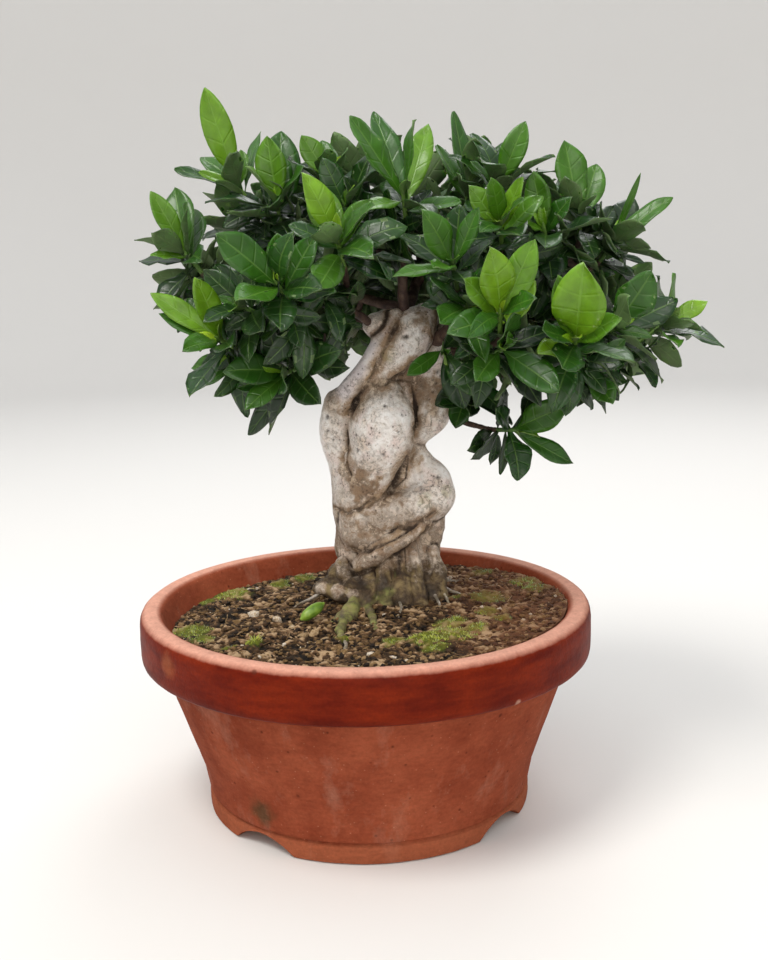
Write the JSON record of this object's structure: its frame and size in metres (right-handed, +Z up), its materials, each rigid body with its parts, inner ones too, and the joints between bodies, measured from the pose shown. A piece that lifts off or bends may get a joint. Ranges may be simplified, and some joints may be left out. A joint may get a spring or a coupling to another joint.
{
  "type": "gardenia bonsai",
  "caption": "Small gardenia bonsai with a knotted pale trunk and a dome of glossy green leaves, growing in a round terracotta pot with a heavy rim and arched foot.",
  "frame": {"origin": "middle of the object's footprint seen from above, on the surface that the pot stands on", "axes": "+Z up, the front that the picture shows faces -Y, +X to the right of that front"},
  "size_m": [0.3586, 0.2992, 0.4361],
  "materials": {
    "terracotta": "matte fired clay, rim band burnished darker",
    "potting_soil": "matte, crumbly bark and peat mix",
    "pale_bark": "smooth pale bark, satin, with brown scars",
    "brown_bark": "matte reddish-brown bark",
    "leaf": "glossy leathery leaf",
    "green_bud": "satin green skin"
  },
  "bodies": {
    "root": {"fallen_bud": "green_bud", "limb_back": "brown_bark", "limb_crown": "brown_bark", "limb_front_left": "brown_bark", "limb_front_right": "brown_bark", "limb_left": "brown_bark", "limb_low": "brown_bark", "limb_right": "brown_bark", "limb_top_right": "brown_bark", "pot": "terracotta", "shoot_back_left_end": "leaf", "shoot_back_left_low": "leaf", "shoot_back_left_out": "leaf", "shoot_back_left_top": "leaf", "shoot_back_left_under": "leaf", "shoot_back_low": "leaf", "shoot_back_middle": "leaf", "shoot_back_right": "leaf", "shoot_back_right_end": "leaf", "shoot_back_right_high": "leaf", "shoot_back_right_low": "leaf", "shoot_back_right_top": "leaf", "shoot_back_top": "leaf", "shoot_back_top_left": "leaf", "shoot_back_top_right": "leaf", "shoot_back_under": "leaf", "shoot_crown": "leaf", "shoot_crown_right": "leaf", "shoot_crown_side": "leaf", "shoot_front_curl": "leaf", "shoot_front_left": "leaf", "shoot_front_left_high": "leaf", "shoot_front_left_low": "leaf", "shoot_front_left_side": "leaf", "shoot_front_right": "leaf", "shoot_front_right_low": "leaf", "shoot_left_back": "leaf", "shoot_left_end": "leaf", "shoot_left_inner": "leaf", "shoot_left_low": "leaf", "shoot_left_tall": "leaf", "shoot_left_top": "leaf", "shoot_left_under": "leaf", "shoot_low_shoot": "leaf", "shoot_middle_high": "leaf", "shoot_middle_inner": "leaf", "shoot_middle_left": "leaf", "shoot_middle_right": "leaf", "shoot_right_bright": "leaf", "shoot_right_end": "leaf", "shoot_right_far": "leaf", "shoot_right_low": "leaf", "shoot_right_olive": "leaf", "shoot_right_pale": "leaf", "shoot_right_top": "leaf", "shoot_side_right_back": "leaf", "shoot_trunk_front": "leaf", "shoot_trunk_right": "leaf", "soil": "potting_soil", "trunk": "pale_bark"}
  },
  "joints": []
}
